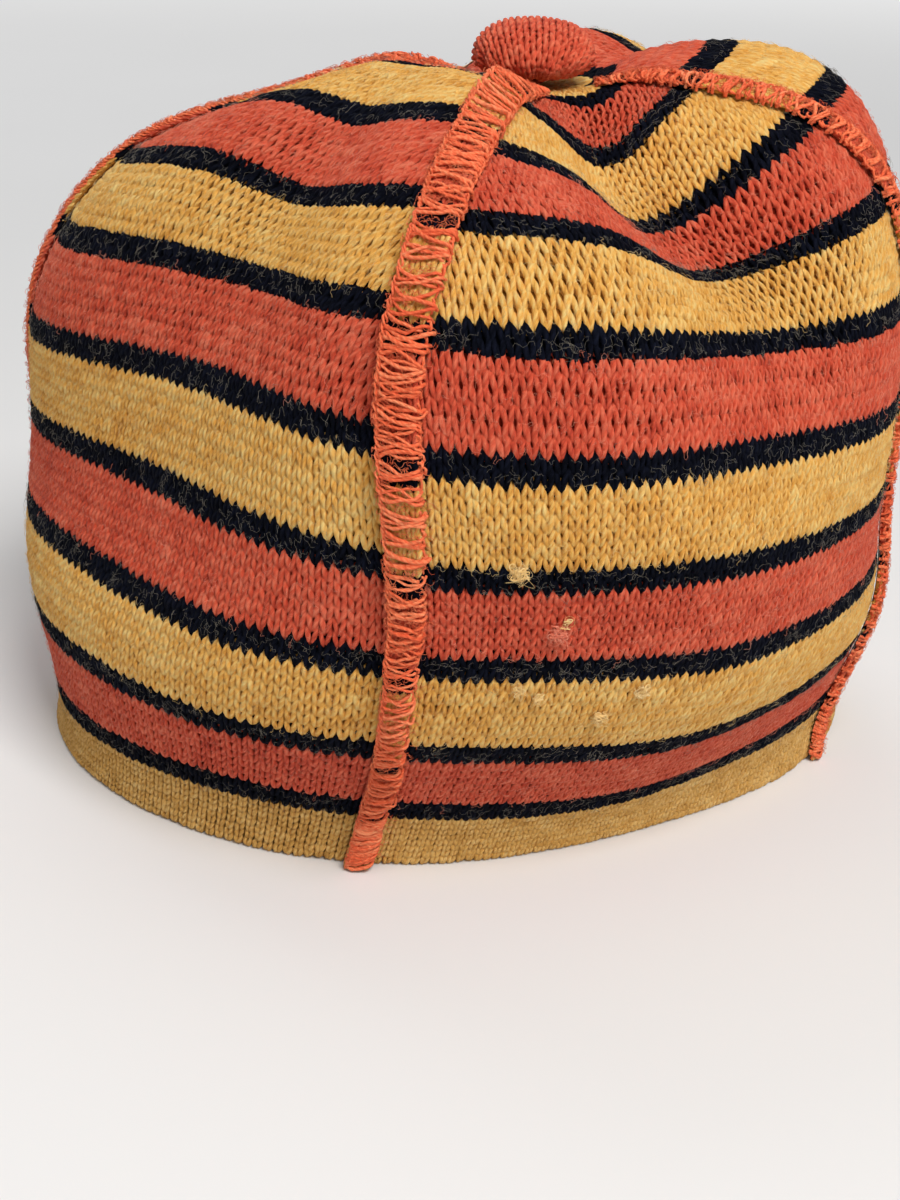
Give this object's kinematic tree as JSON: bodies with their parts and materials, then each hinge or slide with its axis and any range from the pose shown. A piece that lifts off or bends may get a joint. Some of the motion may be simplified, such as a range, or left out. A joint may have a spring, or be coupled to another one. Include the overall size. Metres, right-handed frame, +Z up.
{
  "type": "knitted beanie",
  "caption": "Striped knitted wool hat of four gores with outside overlocked seams, a ribbed rim and a soft button on the crown that tilts and twists.",
  "frame": {"origin": "centre of the object's box on the plane the rim rests on", "axes": "+Z up out of the crown, -Y the front seam, +X the right seam"},
  "size_m": [0.1923, 0.1756, 0.1505],
  "materials": {
    "rib_yellow_yarn": "matte",
    "yellow_yarn": "matte",
    "orange_yarn": "matte",
    "navy_yarn": "matte",
    "folded_margin": "matte",
    "seam_thread": "matte",
    "button_yarn": "matte",
    "stuffing": "matte"
  },
  "bodies": {
    "hat": {"rib_hem_front_right": "rib_yellow_yarn", "navy_courses_front_right": "navy_yarn", "orange_courses_front_right": "orange_yarn", "yellow_courses_front_right": "yellow_yarn", "rib_hem_back_right": "rib_yellow_yarn", "navy_courses_back_right": "navy_yarn", "orange_courses_back_right": "orange_yarn", "yellow_courses_back_right": "yellow_yarn", "rib_hem_back_left": "rib_yellow_yarn", "navy_courses_back_left": "navy_yarn", "orange_courses_back_left": "orange_yarn", "yellow_courses_back_left": "yellow_yarn", "rib_hem_front_left": "rib_yellow_yarn", "navy_courses_front_left": "navy_yarn", "orange_courses_front_left": "orange_yarn", "yellow_courses_front_left": "yellow_yarn", "seam_margin_front": "folded_margin", "looper_threads_front": "seam_thread", "needle_thread_front": "seam_thread", "seam_margin_right": "folded_margin", "looper_threads_right": "seam_thread", "needle_thread_right": "seam_thread", "seam_margin_back": "folded_margin", "looper_threads_back": "seam_thread", "needle_thread_back": "seam_thread", "seam_margin_left": "folded_margin", "looper_threads_left": "seam_thread", "needle_thread_left": "seam_thread", "anchor_stitches": "seam_thread"},
    "shank_strands": {"shank_strands": "seam_thread"},
    "shank_wrap": {"shank_wrap": "seam_thread"},
    "button": {"button_cover": "button_yarn", "button_stuffing": "stuffing", "button_gather_thread": "seam_thread"}
  },
  "joints": [
    {"name": "button_twist", "type": "hinge", "parent": "hat", "child": "shank_strands", "pos_m": [0.01828, -0.00911, 0.13987], "axis": [0, 0, 1], "range_deg": [-45, 45], "stiffness_Nm_per_rad": 0.002},
    {"name": "button_tilt_sideways", "type": "hinge", "parent": "shank_strands", "child": "shank_wrap", "pos_m": [0.01828, -0.00911, 0.13987], "axis": [0, 1, 0], "range_deg": [-5, 5], "stiffness_Nm_per_rad": 0.004},
    {"name": "button_tilt_front_back", "type": "hinge", "parent": "shank_wrap", "child": "button", "pos_m": [0.01828, -0.00911, 0.13987], "axis": [1, 0, 0], "range_deg": [-5, 5], "stiffness_Nm_per_rad": 0.004}
  ]
}
